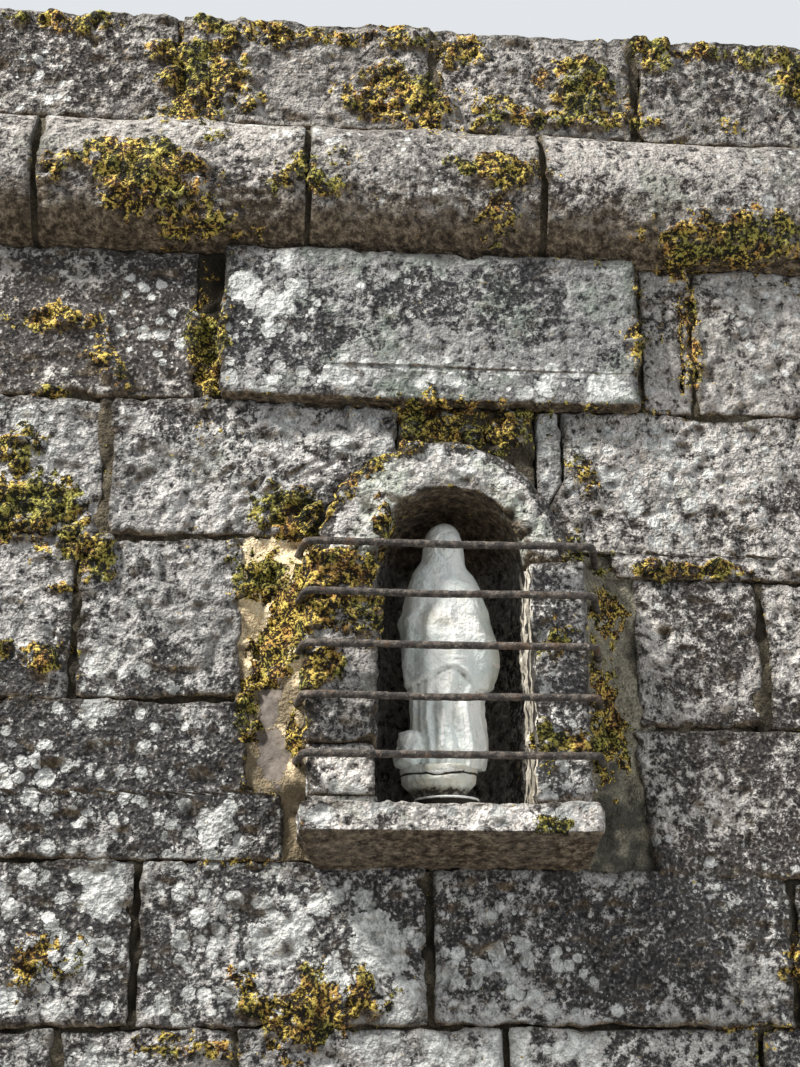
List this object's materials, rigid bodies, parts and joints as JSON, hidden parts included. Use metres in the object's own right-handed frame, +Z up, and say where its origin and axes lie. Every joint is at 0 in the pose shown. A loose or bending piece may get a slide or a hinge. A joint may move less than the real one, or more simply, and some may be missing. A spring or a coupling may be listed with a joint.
{
  "type": "wayside shrine",
  "caption": "Free-standing granite wall bay with a round-headed niche, a veiled figure behind iron bars, a sill, a plaque stone and a half-round string course.",
  "frame": {"origin": "middle of the wall's foot, on the ground, half-way through its thickness", "axes": "+Z up; +Y from the front face into the wall; +X to the right seen from the front"},
  "size_m": [2.1, 0.8448, 3.9],
  "materials": {
    "granite": "rough dressed granite, weathered, with lichen and moss",
    "mortar": "old lime and sand mortar, matte",
    "iron": "rusted wrought iron rod",
    "glazed_figure": "weathered ivory glaze"
  },
  "bodies": {
    "root": {"course_1": "granite", "course_2": "granite", "course_3": "granite", "course_4": "granite", "course_5": "granite", "course_6": "granite", "course_7_left": "granite", "course_7_right": "granite", "course_7_back": "granite", "course_8_left": "granite", "course_8_right": "granite", "course_8_back": "granite", "course_9_left": "granite", "course_9_right": "granite", "course_9_back": "granite", "course_10": "granite", "inscribed_stone": "granite", "string_course": "granite", "top_course": "granite", "sill": "granite", "left_jamb_foot": "granite", "left_jamb": "granite", "right_jamb": "granite", "arch_stone": "granite", "niche_lining": "granite", "packing_stone": "granite", "inscription_mortar": "mortar", "left_mortar": "mortar", "right_mortar": "mortar", "arch_packing": "mortar", "bar_1": "iron", "bar_2": "iron", "bar_3": "iron", "bar_4": "iron", "bar_5": "iron", "dish": "glazed_figure", "figure_base": "glazed_figure", "figure": "glazed_figure"}
  },
  "joints": []
}
